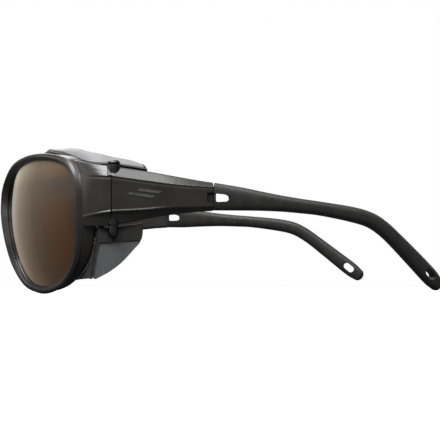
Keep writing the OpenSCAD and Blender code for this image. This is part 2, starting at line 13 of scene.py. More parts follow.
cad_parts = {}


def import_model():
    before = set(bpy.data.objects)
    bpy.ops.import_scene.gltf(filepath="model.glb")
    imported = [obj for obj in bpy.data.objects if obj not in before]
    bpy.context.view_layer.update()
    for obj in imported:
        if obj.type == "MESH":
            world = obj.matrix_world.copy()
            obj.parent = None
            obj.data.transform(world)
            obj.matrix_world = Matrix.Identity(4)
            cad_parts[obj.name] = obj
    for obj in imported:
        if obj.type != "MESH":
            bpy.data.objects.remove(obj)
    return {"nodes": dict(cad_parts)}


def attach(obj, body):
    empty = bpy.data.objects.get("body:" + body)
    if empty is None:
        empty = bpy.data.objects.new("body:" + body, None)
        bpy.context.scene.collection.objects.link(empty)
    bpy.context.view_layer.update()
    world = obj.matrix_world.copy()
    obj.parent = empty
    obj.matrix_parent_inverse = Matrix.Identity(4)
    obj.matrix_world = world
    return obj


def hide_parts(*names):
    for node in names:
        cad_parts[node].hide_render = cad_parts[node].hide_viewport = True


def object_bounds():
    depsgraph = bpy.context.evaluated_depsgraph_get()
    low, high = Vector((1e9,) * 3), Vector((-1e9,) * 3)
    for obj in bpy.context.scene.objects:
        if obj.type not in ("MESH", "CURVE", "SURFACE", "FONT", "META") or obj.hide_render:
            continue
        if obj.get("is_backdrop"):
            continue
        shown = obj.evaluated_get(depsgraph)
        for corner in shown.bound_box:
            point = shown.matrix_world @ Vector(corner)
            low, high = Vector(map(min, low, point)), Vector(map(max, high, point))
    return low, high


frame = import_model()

CAD_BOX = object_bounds()
MM = 0.001
ALL_SMOOTH = 50  # shading angle from which a piece has no crisp edges
IMAGE_PX, FOCAL_PX = 440, 1190


# ------------------------------------------------------------------ curves and sections
def vec(*v):
    return np.array(v, float)


def unit(v):
    return v / np.linalg.norm(v)


def lerp(a, b, t):
    return a + (b - a) * t


def clamp(x, lo=0.0, hi=1.0):
    return min(hi, max(lo, x))


def along(rows, x):
    """Value at x of the line through (x, value) rows."""
    return float(np.interp(x, [r[0] for r in rows], [r[1] for r in rows]))


def spline(a, b, c, d, t):
    return 0.5 * (2 * b + (c - a) * t + (2 * a - 5 * b + 4 * c - d) * t ** 2 + (3 * b - a - 3 * c + d) * t ** 3)


def ring(points, steps):
    """Closed smooth curve through points."""
    p = np.array(points, float)
    n = len(p)
    return np.array([spline(p[i - 1], p[i], p[(i + 1) % n], p[(i + 2) % n], k / steps)
                     for i in range(n) for k in range(steps)])


def path(points, steps):
    """Open smooth curve through points."""
    p = np.array(points, float)
    n = len(p)
    out = [spline(p[max(i - 1, 0)], p[i], p[i + 1], p[min(i + 2, n - 1)], k / steps)
           for i in range(n - 1) for k in range(steps)]
    return np.array(out + [p[-1]])


def bezier(a, b, c, t):
    return (1 - t) ** 2 * a + 2 * t * (1 - t) * b + t * t * c


def rounded(corners, radii, steps=4):
    """Closed polygon of 2D or 3D corners with each corner rounded back by its radius."""
    p = np.array(corners, float)
    n = len(p)
    out = []
    for k in range(n):
        a, b = p[k - 1] - p[k], p[(k + 1) % n] - p[k]
        la, lb = np.linalg.norm(a), np.linalg.norm(b)
        p0 = p[k] + a / la * min(radii[k], 0.48 * la)
        p1 = p[k] + b / lb * min(radii[k], 0.48 * lb)
        out += [bezier(p0, p[k], p1, j / steps) for j in range(steps + 1)]
    return np.array(out)


def headings(points):
    p = np.array(points, float)
    n = len(p)
    return [unit(p[min(i + 1, n - 1)] - p[max(i - 1, 0)]) for i in range(n)]


# ------------------------------------------------------------------ meshes
def linked(me):
    """New object for a mesh, in the scene."""
    ob = bpy.data.objects.new("work", me)
    bpy.context.scene.collection.objects.link(ob)
    return ob


def mesh_object(verts, faces):
    me = bpy.data.meshes.new("work")
    me.from_pydata([tuple(float(c) for c in v) for v in verts], [], [tuple(int(i) for i in f) for f in faces])
    bm = bmesh.new()
    bm.from_mesh(me)
    bmesh.ops.remove_doubles(bm, verts=bm.verts, dist=1e-5)
    bmesh.ops.recalc_face_normals(bm, faces=bm.faces)
    bm.to_mesh(me)
    bm.free()
    return linked(me)


def bands(start, n, m, closed=False):
    """Faces between n rings of m points each, from point number start on."""
    return [(start + i * m + j, start + i * m + (j + 1) % m, start + (i + 1) % n * m + (j + 1) % m,
             start + (i + 1) % n * m + j) for i in range(n if closed else n - 1) for j in range(m)]


def loft(rows, closed=False):
    """Skin over rows of points, each a closed section; an open loft gets flat ends."""
    r = np.array(rows, float)
    n, m = r.shape[:2]
    faces = bands(0, n, m, closed)
    if not closed:
        faces += [tuple(range(m - 1, -1, -1)), tuple((n - 1) * m + j for j in range(m))]
    return mesh_object(r.reshape(-1, 3), faces)


def slab(outer, inner):
    """Plate between two faces, each given as rows of points."""
    r = np.array([list(a) + list(b)[::-1] for a, b in zip(outer, inner)])
    n, m = r.shape[:2]
    faces = bands(0, n, m)
    for base in (0, (n - 1) * m):
        faces += [(base + j, base + j + 1, base + m - 2 - j, base + m - 1 - j) for j in range(m // 2 - 1)]
    return mesh_object(r.reshape(-1, 3), faces)


def strip(rows, push, lo, hi):
    """Sheet with thickness from lo to hi along push, one direction per row of points."""
    return slab([[p + d * lo for p in row] for row, d in zip(rows, push)],
                [[p + d * hi for p in row] for row, d in zip(rows, push)])


def prism(outline, x0, x1):
    """(y, z) outline extruded along X."""
    o = np.array(outline, float)
    n = len(o)
    verts = [(x0, y, z) for y, z in o] + [(x1, y, z) for y, z in o]
    faces = [tuple(range(n)), tuple(range(2 * n - 1, n - 1, -1))]
    faces += [(i, (i + 1) % n, n + (i + 1) % n, n + i) for i in range(n)]
    return mesh_object(verts, faces)


def turned(profile, x, y, steps=64):
    """(radius, z) profile turned about the upright axis at x, y; it starts and ends on the axis."""
    verts = []
    rings = profile[1:-1]
    for r, z in rings:
        verts += [(x + r * math.cos(2 * math.pi * k / steps), y + r * math.sin(2 * math.pi * k / steps), z)
                  for k in range(steps)]
    faces = bands(0, len(rings), steps)
    first, last = len(verts), len(verts) + 1
    verts += [(x, y, profile[0][1]), (x, y, profile[-1][1])]
    top = (len(rings) - 1) * steps
    faces += [(first, (k + 1) % steps, k) for k in range(steps)]
    faces += [(last, top + k, top + (k + 1) % steps) for k in range(steps)]
    return mesh_object(verts, faces)


def rod(a, b, r, steps=32):
    """Cylinder from a to b."""
    a, b = np.array(a, float), np.array(b, float)
    d = unit(b - a)
    s = unit(np.cross(d, (0.3, 0.2, 0.9)))
    t = np.cross(d, s)
    rows = [[p + r * (math.cos(2 * math.pi * k / steps) * s + math.sin(2 * math.pi * k / steps) * t)
             for k in range(steps)] for p in (a, b)]
    return loft(rows)


def block(lo, hi):
    """Box between two corners."""
    (x0, y0, z0), (x1, y1, z1) = lo, hi
    return prism([(y0, z0), (y1, z0), (y1, z1), (y0, z1)], x0, x1)


def stadium(y0, z0, r0, y1, z1, r1, steps=16):
    """Outline round two circles, in (y, z)."""
    a, b = vec(y0, z0), vec(y1, z1)
    d = unit(b - a)
    lean = math.asin((r0 - r1) / np.linalg.norm(b - a))
    base = math.atan2(d[1], d[0])
    start, end = math.pi / 2 - lean, -math.pi / 2 + lean
    far = [b + r1 * vec(math.cos(base + t), math.sin(base + t)) for t in np.linspace(start, end, steps)]
    near = [a + r0 * vec(math.cos(base + t), math.sin(base + t))
            for t in np.linspace(end, start - 2 * math.pi, steps)]
    return far + near


def baked(ob):
    """Applies the modifiers of ob."""
    graph = bpy.context.evaluated_depsgraph_get()
    graph.update()
    me = bpy.data.meshes.new_from_object(ob.evaluated_get(graph))
    ob.modifiers.clear()
    old, ob.data = ob.data, me
    bpy.data.meshes.remove(old)
    return ob


def discard(*obs):
    for ob in obs:
        me = ob.data
        bpy.data.objects.remove(ob)
        bpy.data.meshes.remove(me)


def joined(*obs):
    """One object holding the shells of all of them."""
    bm = bmesh.new()
    for ob in obs:
        bm.from_mesh(ob.data)
    me = bpy.data.meshes.new("work")
    bm.to_mesh(me)
    bm.free()
    discard(*obs)
    return linked(me)


def relaxed(ob, rounds):
    """Taubin smoothing: takes out voxel steps without shrinking the shape."""
    me = ob.data
    n = len(me.vertices)
    co = np.empty(n * 3)
    me.vertices.foreach_get("co", co)
    co = co.reshape(n, 3)
    edges = np.empty(len(me.edges) * 2, int)
    me.edges.foreach_get("vertices", edges)
    a, b = edges.reshape(-1, 2).T
    count = np.bincount(a, minlength=n) + np.bincount(b, minlength=n)
    for _ in range(rounds):
        for weight in (0.5, -0.52):
            total = np.zeros((n, 3))
            for k in range(3):
                total[:, k] = np.bincount(a, co[b, k], n) + np.bincount(b, co[a, k], n)
            co = co + weight * (total / np.maximum(count, 1)[:, None] - co)
    me.vertices.foreach_set("co", co.ravel())
    me.update()
    return ob


def moulded(obs, voxel, rounds):
    """Fuses overlapping closed shells into one smooth skin."""
    ob = joined(*obs)
    mod = ob.modifiers.new("fuse", "REMESH")
    mod.mode = "VOXEL"
    mod.voxel_size = voxel
    mod.use_smooth_shade = True
    return relaxed(baked(ob), rounds)


def cut(ob, *cutters):
    """Takes the cutters out of ob."""
    for c in cutters:
        mod = ob.modifiers.new("cut", "BOOLEAN")
        mod.operation = "DIFFERENCE"
        mod.solver = "EXACT"
        mod.object = c
        baked(ob)
        discard(c)
    return ob


def softened(ob, width, segments=2, angle=40):
    """Rounds the sharp edges of a crisp shape."""
    mod = ob.modifiers.new("soften", "BEVEL")
    mod.width = width
    mod.segments = segments
    mod.limit_method = "ANGLE"
    mod.angle_limit = math.radians(angle)
    mod.miter_outer = "MITER_ARC"
    return baked(ob)


def mirrored(ob):
    """Copy of ob on the wearer's right."""
    me = ob.data.copy()
    me.transform(Matrix.Scale(-1, 4, (1, 0, 0)))
    me.flip_normals()
    return linked(me)


def finished(ob, part, body, material, angle=35):
    """Scales a piece to metres, shades it smooth up to angle, and puts it in the place of its CAD node."""
    ob.name = ob.data.name = "vis_" + part
    me = ob.data
    me.transform(Matrix.Scale(MM, 4))
    me.polygons.foreach_set("use_smooth", [True] * len(me.polygons))
    me.set_sharp_from_angle(angle=math.radians(angle))
    me.materials.clear()
    me.materials.append(material)
    if angle < ALL_SMOOTH:
        mod = ob.modifiers.new("normals", "WEIGHTED_NORMAL")
        mod.keep_sharp = True
        baked(ob)
    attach(ob, body)
    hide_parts(part)


def pair(ob, part, body, material, angle=35, right=None):
    """Finishes the left piece and the right one, which is its mirror image unless given."""
    for side, piece in (("left_", ob), ("right_", right or mirrored(ob))):
        finished(piece, side + part, body if body == "front" else side + body, material, angle)


# ------------------------------------------------------------------ materials
def set_stops(ramp, stops):
    """Gives a colour ramp its (position, colour) stops."""
    while len(ramp.elements) < len(stops):
        ramp.elements.new(0.5)
    for e, (position, colour) in zip(ramp.elements, stops):
        e.position = position
        e.color = (*colour, 1)


class Graph:
    """Small helper for building a node material."""

    def __init__(self, name):
        self.mat = bpy.data.materials.new(name)
        self.mat.use_nodes = True
        self.tree = self.mat.node_tree
        self.bsdf = self.tree.nodes["Principled BSDF"]
        self.coord = self.node("ShaderNodeTexCoord").outputs["Object"]

    def node(self, kind, **fields):
        n = self.tree.nodes.new(kind)
        for k, v in fields.items():
            if hasattr(n, k):
                setattr(n, k, v)
            else:
                n.inputs[k.replace("_", " ")].default_value = v
        return n

    def link(self, a, b):
        self.tree.links.new(a, b)

    def feed(self, socket, v):
        """Gives a socket a number, a colour or another node's output."""
        if isinstance(v, (int, float)):
            socket.default_value = v
        elif isinstance(v, tuple):
            socket.default_value = (*v, 1)
        else:
            self.link(v, socket)

    def value(self, a, op, b=None):
        n = self.node("ShaderNodeMath", operation=op)
        self.feed(n.inputs[0], a)
        if b is not None:
            self.feed(n.inputs[1], b)
        return n.outputs[0]

    def noise(self, scale, detail=2.0, rough=0.5, where=None):
        n = self.node("ShaderNodeTexNoise", Scale=scale, Detail=detail, Roughness=rough)
        self.link(where or self.coord, n.inputs["Vector"])
        return n.outputs["Fac"]

    def spread(self, fac, a, b, c, d):
        """Maps fac from the range a to b onto c to d, held at its ends."""
        n = self.node("ShaderNodeMapRange")
        self.link(fac, n.inputs["Value"])
        for k, v in zip(("From Min", "From Max", "To Min", "To Max"), (a, b, c, d)):
            n.inputs[k].default_value = v
        return n.outputs["Result"]

    def ramp(self, fac, stops):
        n = self.node("ShaderNodeValToRGB")
        set_stops(n.color_ramp, stops)
        self.link(fac, n.inputs["Fac"])
        return n.outputs["Color"]

    def mix(self, fac, a, b, kind="MIX"):
        n = self.node("ShaderNodeMix", data_type="RGBA", blend_type=kind)
        for socket, v in zip((n.inputs[0], n.inputs[6], n.inputs[7]), (fac, a, b)):
            self.feed(socket, v)
        return n.outputs[2]

    def bump(self, height, strength, distance, after=None):
        n = self.node("ShaderNodeBump", Strength=strength, Distance=distance)
        self.link(height, n.inputs["Height"])
        if after is not None:
            self.link(after, n.inputs["Normal"])
        return n.outputs["Normal"]

    def set(self, **inputs):
        for k, v in inputs.items():
            self.feed(self.bsdf.inputs[k.replace("_", " ")], v)


def plastic(name, tone, rough, grain, edge=0.35):
    """Moulded nylon: fine grain and faint flow marks, sharp convex edges lightened as painted highlight and rubbed
    wear, and painted shade that darkens crevices, recesses and gaps between parts.
    """
    g = Graph(name)
    flow = g.noise(90, 3, 0.55)
    fine = g.noise(5200, 2, 0.6)
    # Painted highlight and wear: sharp convex edges are lightened, by the share given in edge, as both an edge
    # highlight and rubbed wear.
    edge_highlight_and_wear_mask = g.spread(g.node("ShaderNodeNewGeometry").outputs["Pointiness"], 0.52, 0.6, 0, 1)
    edge_highlight_and_wear_tone = g.mix(g.value(edge_highlight_and_wear_mask, "MULTIPLY", edge), tone, tuple(min(1, c * 2.1 + 0.015) for c in tone))
    shade = g.mix(g.spread(flow, 0.3, 0.7, 0, 1), tuple(c * 0.86 for c in tone), tuple(c * 1.1 for c in tone))
    # Painted shade: an occlusion node takes the colour towards near black in crevices, recesses and gaps between
    # parts, and dims the reflections there too.
    painted_shade_ao = g.node("ShaderNodeAmbientOcclusion", samples=6, Distance=0.0025)
    depth = g.value(g.spread(painted_shade_ao.outputs["AO"], 0.15, 0.75, 0.12, 1.0), "POWER", 1.2)
    g.link(g.value(depth, "MULTIPLY", 0.5), g.bsdf.inputs["Specular IOR Level"])
    g.set(Base_Color=g.mix(depth, (0.003, 0.003, 0.003), g.mix(g.value(edge_highlight_and_wear_mask, "MULTIPLY", edge), shade, edge_highlight_and_wear_tone)),
          Roughness=g.value(g.spread(flow, 0.3, 0.7, rough - 0.05, rough + 0.05), "ADD",
                            g.spread(fine, 0.3, 0.7, -0.03, 0.03)),
          Normal=g.bump(fine, grain, 0.00003, g.bump(flow, 0.06, 0.0002)))
    return g.mat


def rubber(name, tone, rough):
    """Matte rubber with a fine sparkle-free texture."""
    g = Graph(name)
    pits = g.node("ShaderNodeTexVoronoi", feature="F1", Scale=2300.0)
    g.link(g.coord, pits.inputs["Vector"])
    dust = g.noise(240, 4, 0.6)
    dark, light = tuple(c * 0.88 for c in tone), tuple(c * 1.15 for c in tone)
    g.set(Base_Color=g.mix(g.spread(dust, 0.35, 0.7, 0, 1), dark, light),
          Roughness=g.spread(dust, 0.3, 0.7, rough - 0.06, rough + 0.06),
          Normal=g.bump(pits.outputs["Distance"], 0.22, 0.00005, g.bump(g.noise(1500, 2), 0.12, 0.00005)),
          Sheen_Weight=0.06)
    return g.mat


def metal(name, tone, rough, streaks=True):
    """Brushed or plain metal."""
    g = Graph(name)
    m = g.node("ShaderNodeMapping")
    m.inputs["Scale"].default_value = (1.0, 0.06, 1.0)
    g.link(g.coord, m.inputs["Vector"])
    lines = g.noise(6000, 3, 0.6, m.outputs["Vector"]) if streaks else g.noise(2500, 2)
    g.set(Base_Color=g.mix(g.spread(lines, 0.3, 0.7, 0, 1), tuple(c * 0.85 for c in tone), tone),
          Metallic=1.0, Roughness=g.spread(lines, 0.3, 0.7, rough - 0.06, rough + 0.08),
          Normal=g.bump(lines, 0.08, 0.00002))
    return g.mat


def weave(name, thread, gap, opening, pitch):
    """Fine diagonal mesh film: threads at +-45 degrees in the side plane, with small openings."""
    g = Graph(name)
    split = g.node("ShaderNodeSeparateXYZ")
    g.link(g.coord, split.inputs[0])
    k = math.pi / (pitch * MM)
    across = g.value(g.value(g.value(split.outputs["Y"], "ADD", split.outputs["Z"]), "MULTIPLY", k), "SINE")
    down = g.value(g.value(g.value(split.outputs["Y"], "SUBTRACT", split.outputs["Z"]), "MULTIPLY", k), "SINE")
    a2, d2 = g.value(across, "MULTIPLY", across), g.value(down, "MULTIPLY", down)
    hole = g.value(a2, "MULTIPLY", d2)
    tint = g.noise(140, 2)
    base = g.mix(g.spread(hole, 0.1, 0.7, 0, 1), thread, gap)
    base = g.mix(g.spread(tint, 0.3, 0.7, 0, 0.12), base, tuple(min(1, c * 1.4) for c in thread))
    g.set(Base_Color=base, Roughness=0.5, Normal=g.bump(hole, 0.35, 0.00012),
          Alpha=g.spread(hole, 0.25, 0.85, 1.0, 1.0 - opening))
    g.bsdf.inputs["Specular IOR Level"].default_value = 0.35
    return g.mat


# Lens colour by view angle: the bronze tint face-on, then painted reflection that turns it pale towards a grazing
# view.
LENS_TINT_AND_REFLECTION_RAMP = [(0.2, (0.044, 0.028, 0.019)), (0.27, (0.076, 0.043, 0.024)), (0.34, (0.089, 0.053, 0.033)),
             (0.41, (0.098, 0.064, 0.043)), (0.46, (0.103, 0.075, 0.052)), (0.52, (0.116, 0.091, 0.066)),
             (0.59, (0.158, 0.131, 0.102)), (0.68, (0.227, 0.194, 0.152)), (0.75, (0.31, 0.275, 0.227)),
             (0.82, (0.44, 0.4, 0.353)), (1.0, (0.54, 0.51, 0.47))]


def lens_glass(name):
    """Bronze mirror lens: brown tint face-on, painted reflection that makes it pale at a grazing view, a painted
    dark reflection band on the temple side, painted reflection that lightens it high up, and redder low down; its
    colour is also emitted as a painted glow.
    """
    g = Graph(name)
    split = g.node("ShaderNodeSeparateXYZ")
    g.link(g.coord, split.inputs[0])
    height = split.outputs["Z"]
    side = g.spread(g.value(split.outputs["X"], "ABSOLUTE"), 0.044, 0.058, 0, 1)
    facing = g.node("ShaderNodeLayerWeight", Blend=0.5).outputs["Facing"]
    haze = g.value(g.noise(38, 2), "SUBTRACT", 0.5)
    # Painted reflection: the colour follows how squarely the lens faces the view, with a little noise.
    body = g.ramp(g.value(facing, "ADD", g.value(haze, "MULTIPLY", 0.03)), LENS_TINT_AND_REFLECTION_RAMP)
    low = g.spread(height, -0.019, 0.001, 0.9, 0)
    body = g.mix(low, body, g.mix(1.0, body, (0.82, 0.68, 0.58), "MULTIPLY"))
    # Painted reflection: a dark band at middle height on the outer, temple side of each lens.
    painted_dark_reflection_band = g.value(g.spread(height, 0.005, 0.011, 0, 1), "MULTIPLY", g.spread(height, 0.0155, 0.0175, 1, 0))
    body = g.mix(g.value(g.value(side, "MULTIPLY", painted_dark_reflection_band), "MULTIPLY", 0.85), body, (0.054, 0.045, 0.034))
    # Painted reflection: the colour is lifted high up on the lens.
    high = g.spread(height, 0.0145, 0.0205, 0, 1)
    body = g.mix(high, body, g.mix(1.0, body, (1.32, 1.34, 1.26), "MULTIPLY"))
    # Painted glow: the lens colour is also emitted, so its painted reflections show whatever the lamps do.
    g.set(Base_Color=g.mix(1.0, body, (0.6, 0.58, 0.56), "MULTIPLY"),
          Emission_Color=body, Emission_Strength=0.42,
          Roughness=g.spread(g.noise(38, 2), 0.3, 0.7, 0.27, 0.3))
    g.bsdf.inputs["Specular IOR Level"].default_value = 0.12
    return g.mat


M_FRAME = plastic("nylon_frame", (0.027, 0.0247, 0.0228), 0.34, 0.10)
M_ARM = plastic("nylon_arm", (0.027, 0.0247, 0.0228), 0.34, 0.10)
M_CARRIER = plastic("carrier_plastic", (0.022, 0.02, 0.0187), 0.66, 0.14)
M_TIP = rubber("tip_rubber", (0.02, 0.0188, 0.0178), 0.46)
M_PAD = rubber("pad_rubber", (0.03, 0.03, 0.03), 0.55)
M_STEEL = metal("bare_metal", (0.56, 0.56, 0.57), 0.3)
M_BADGE = metal("badge_metal", (0.36, 0.355, 0.35), 0.36)
M_DARK = metal("dark_metal", (0.09, 0.09, 0.092), 0.38, streaks=False)
M_LENS = lens_glass("bronze_lens")
M_CHEEK = weave("cheek_mesh", (0.15, 0.157, 0.16), (0.05, 0.053, 0.055), 0.1, 0.9)
M_BROW = weave("brow_mesh", (0.25, 0.253, 0.258), (0.1, 0.102, 0.105), 0.1, 0.9)

# ------------------------------------------------------------------ lens surface and rim outline
LENS_R, LENS_T = 68.0, 2.2
WRAP, LEAN = math.radians(23.5), math.radians(5.5)
Z = vec(0, 0, 1)
LEVEL_OUT = vec(math.sin(WRAP), -math.cos(WRAP), 0)
ACROSS = vec(math.cos(WRAP), math.sin(WRAP), 0)
OUT = math.cos(LEAN) * LEVEL_OUT - math.sin(LEAN) * Z
UP = math.cos(LEAN) * Z + math.sin(LEAN) * LEVEL_OUT
CENTRE = vec(38.4, 10.5, 0.15) - LENS_R * OUT
OPENING = [(28.9, 2), (28.1, 11.5), (23.1, 19.3), (12.9, 22.4), (-1, 23.1), (-13.9, 21.3), (-21.9, 17.6),
           (-27.2, 11.1), (-26.2, 2.7), (-23.5, -6.2), (-20.2, -14.5), (-13.4, -21.8), (-4, -24.9), (6, -24.9),
           (15.8, -22.2), (23.4, -16.2), (27.4, -7.8)]
OUTLINE = ring(OPENING, 14)
NEXT, BACK = np.roll(OUTLINE, -1, 0), np.roll(OUTLINE, 1, 0)
TANGENT = (NEXT - BACK) / np.linalg.norm(NEXT - BACK, axis=1)[:, None]
OUTWARD = np.stack([TANGENT[:, 1], -TANGENT[:, 0]], 1)
N_OUT = len(OUTLINE)


def on_lens(q, t=0.0):
    depth = math.sqrt(LENS_R ** 2 - q[0] ** 2 - q[1] ** 2)
    return CENTRE + (1 + t / LENS_R) * (q[0] * ACROSS + q[1] * UP + depth * OUT)


def by_rim(i, r, t):
    return on_lens(OUTLINE[i] + r * OUTWARD[i], t)


def at_y(p, y):
    return vec(p[0], y, p[2])


def parts_of(i):
    """How far a place on the outline is to the nasal, temporal, low and high side, each from 0 to 1."""
    u, v = OUTLINE[i]
    return clamp(-u / 27) ** 2, clamp(u / 29) ** 2, clamp(-v / 23) ** 2, clamp(v / 23) ** 2


def rim_width(i):
    nasal, _, _, high = parts_of(i)
    return 2.5 + 0.8 * nasal + 0.2 * high


def rim_back(i):
    nasal, temporal, low, _ = parts_of(i)
    return by_rim(i, 0, 0)[1] + 5.2 + 2.6 * temporal - 0.6 * nasal - 1.7 * low


def rim():
    """Rim with a groove that holds the lens, and a gap round it that widens on the nasal and low sides."""
    rows = []
    for i in range(N_OUT):
        nasal, temporal, low, _ = parts_of(i)
        w, back, seat = rim_width(i), rim_back(i), -LENS_T - 0.1
        front = 1.6 + 2.95 * nasal - 1.1 * temporal + 0.4 * low
        share = clamp(nasal + 0.8 * low * clamp((12 - OUTLINE[i][0]) / 16))
        gap, floor = 0.22 + 0.6 * share, 0.12 + 0.26 * share
        corners = [by_rim(i, 0, -0.02), by_rim(i, 0, floor), by_rim(i, gap, floor + 0.02),
                   by_rim(i, gap, floor + 1.3 * gap), by_rim(i, 0.1 + 0.35 * gap, floor + 0.08 + 1.45 * gap),
                   by_rim(i, 1.15, front), by_rim(i, w, front - 0.1 - temporal), by_rim(i, w, -0.6),
                   at_y(by_rim(i, w, -0.6), back), at_y(by_rim(i, 0.3, seat), back),
                   by_rim(i, 0, seat), by_rim(i, 1.3, seat), by_rim(i, 1.3, -0.02)]
        radii = [0.03, 0.03, 0.1, 0.1, 0.12, 0.5, 0.8 - 0.55 * temporal, 0.3, 0.9, 0.9, 0.3, 0.05, 0.05]
        rows.append(rounded(corners, radii, 4))
    return loft(rows, closed=True)


def beam(y, xo, xi, top, face_top, face_low, low, slope=1.9, edge=0.8):
    """Corners of a section of the arm: a chamfer over a fine groove, the face, a bead and the lower chamfer."""
    bead = clamp((66 - y) / 10)
    return [vec(xi, y, low + edge), vec(xi, y, top - edge), vec(xi + edge, y, top), vec(xo - slope, y, top),
            vec(xo + 0.08, y, face_top), vec(xo - 0.16, y, face_top - 0.4), vec(xo, y, face_top - 1.1),
            vec(xo, y, face_low + 0.5), vec(xo + 0.22 * bead, y, face_low + 0.2),
            vec(xo + 0.16 * bead, y, face_low - 0.2), vec(xo - 0.45, y, face_low - 0.5),
            vec(xo - slope, y, low), vec(xi + edge, y, low)]


BEAM_R = [0.3, 0.5, 0.4, 0.35, 0.12, 0.12, 0.3, 0.15, 0.15, 0.15, 0.1, 0.5, 0.4]
SEAM_Y, SEAM_GAP, FACE_X, INNER_X = 40.7, 0.26, 69.1, 63.7
HINGE = (66.0, 41.7)

# Lines along the lug: place on the rim's outline, how far behind the lip, and the seam's x and z
LUG_LINES = [(-0.52, 0.3, 67.0, -2.5), (-0.26, 0.3, 68.5, 2.1), (-0.23, 0.2, 69.3, 2.6),
             (-0.17, 0.2, 69.38, 3.0), (-0.12, 0.3, FACE_X, 3.4), (0.7, 0.3, FACE_X, 9.6), (1.23, 0.5, FACE_X, 14.6),
             (1.32, 0.7, FACE_X - 0.2, 15.4), (1.38, 0.8, 69.2, 15.8), (1.43, 0.8, 69.0, 16.2),
             (1.65, 0.6, 68.35, 17.4), (1.88, 0.4, 67.7, 18.7), (2.05, 0.3, 67.2, 19.7), (2.3, 0.3, 64.5, 19.7)]
SPAN = len(OUTLINE) // len(OPENING)


def rim_edge(k, r, t):
    """Point of the rim k control points on from the start of the outline, with r measured in from its edge."""
    i = int(round(k * SPAN)) % N_OUT
    return by_rim(i, rim_width(i) - r, t)


def bent(a, b, t):
    """Point of the lug's line from a on the rim to b at the seam."""
    return bezier(a, vec(lerp(a[0], b[0], 0.72), lerp(a[1], b[1], 0.42), lerp(a[2], b[2], 0.55)), b, t)


def lug():
    """Skin that flares from the rim's edge to the seam of the temple."""
    lines = np.array(LUG_LINES)
    fine = np.concatenate([np.linspace(a, b, 5)[:-1] for a, b in zip(lines[:-1], lines[1:])] + [lines[-1:]])
    y = SEAM_Y - SEAM_GAP / 2
    outer, inner = [], []
    for k, back, x, z in fine:
        shift = vec(0, back, 0)
        outer.append((rim_edge(k, 0.08, -0.5) + shift, vec(x, y, z)))
        inner.append((rim_edge(k, 1.6, -2.6) + shift, vec(INNER_X, y, clamp(z, -1.7, 18.9))))
    return slab(*([[bent(a, b, t) for a, b in ends] for t in np.linspace(0, 1, 25)] for ends in (outer, inner)))


def bridge():
    """Bar over the nose, through sections of (x, middle height, half its height)."""
    stations = [(-9, 10.6, 8.3), (-6, 11.2, 6.4), (-2.5, 12, 5), (2.5, 12, 5), (6, 11.2, 6.4), (9, 10.6, 8.3)]
    rows = []
    for x in np.linspace(-9, 9, 31):
        z = along([(s[0], s[1]) for s in stations], x)
        h = along([(s[0], s[2]) for s in stations], x)
        y0 = 0.9 + 0.012 * max(0, x * x - 60)
        y1 = 6.4 + 0.02 * x * x
        corners = [vec(x, y0, z - h), vec(x, y0, z + h), vec(x, y1, z + h), vec(x, y1, z - h)]
        rows.append(rounded(corners, [1.9] * 4, 8))
    return loft(rows)


def hinge_room():
    """Cutters for the room that the hinge pin and its nut need."""
    x, y = HINGE
    return [rod((x, y, 3.2), (x, y, 15.4), 2.5, 48), rod((x, y, 15.3), (x, y, 26), 2.6, 48),
            rod((x, y, -10), (x, y, 3.3), 2.25, 48)]


def front_half():
    boss = rod((10.2, 7.0, 3.5), (10.2, 10.2, 3.5), 1.7)
    ob = moulded([rim(), lug(), boss], 0.19, 3)
    x = HINGE[0]
    return cut(ob, *hinge_room(),
               block((x - 0.95, 36.95, 3.25), (x + 0.95, 42, 15.35)),
               block((50, SEAM_Y - 1.7, -10), (x + 0.2, 50, 30)),
               block((50, SEAM_Y - 1.5, 15.9), (80, 50, 26)),
               rod((10.2, 8.6, 3.5), (10.2, 12, 3.5), 0.9))


left = front_half()
right = mirrored(left)
front = joined(moulded([bridge()], 0.24, 6), left, right)
finished(front, "front_frame", "front", M_FRAME, 38)


# ------------------------------------------------------------------ lenses
def lens():
    """Curved lens with a rounded edge that sits in the rim's groove."""
    edge = OUTLINE + 1.2 * OUTWARD
    shares = [1.0, 0.995, 0.985, 0.95] + list(np.linspace(0.88, 0.06, 16))
    inset = {0: 0.18, 1: 0.05}
    verts, faces = [], []
    m = N_OUT
    for t, sign in ((-0.1, -1), (-LENS_T, 1)):
        for k, s in enumerate(shares):
            verts += [on_lens(q * s, t + sign * inset.get(k, 0)) for q in edge]
        verts.append(on_lens((0, 0), t))
    size = len(shares) * m + 1
    for face in (0, 1):
        o = face * size
        faces += bands(o, len(shares), m)
        last = o + (len(shares) - 1) * m
        faces += [(last + i, last + (i + 1) % m, o + size - 1) for i in range(m)]
    faces += [(i, (i + 1) % m, size + (i + 1) % m, size + i) for i in range(m)]
    return mesh_object(verts, faces)


pair(lens(), "lens", "front", M_LENS, 50)

# ------------------------------------------------------------------ temples
# Sections of the arm: y, then the arguments of beam()
ARM_ROWS = [(SEAM_Y + SEAM_GAP / 2, 69.1, 63.7, 19.7, 15.9, 2.9, -2.5),
            (47, 69.1, 64.6, 18.95, 15.05, 3.2, -1.1),
            (54, 69.1, 65.1, 18.1, 14.2, 3.7, 0.3), (60, 69.1, 65.3, 17.1, 13.5, 4.4, 1.4),
            (66, 69.1, 65.4, 16.1, 12.9, 4.8, 2.3), (73, 69.0, 65.5, 15.0, 12.6, 5.1, 3.1),
            (78.9, 68.8, 65.6, 14.2, 12.4, 5.3, 3.5)]
# Two slanted bars, in (y, z) about the badge's middle
BADGE = [[(-6.2, -1.5), (3.2, -1.5), (4.2, -0.6), (-5.2, -0.6)],
         [(-2.4, 0.4), (5.6, 0.4), (6.6, 1.3), (-1.4, 1.3)]]


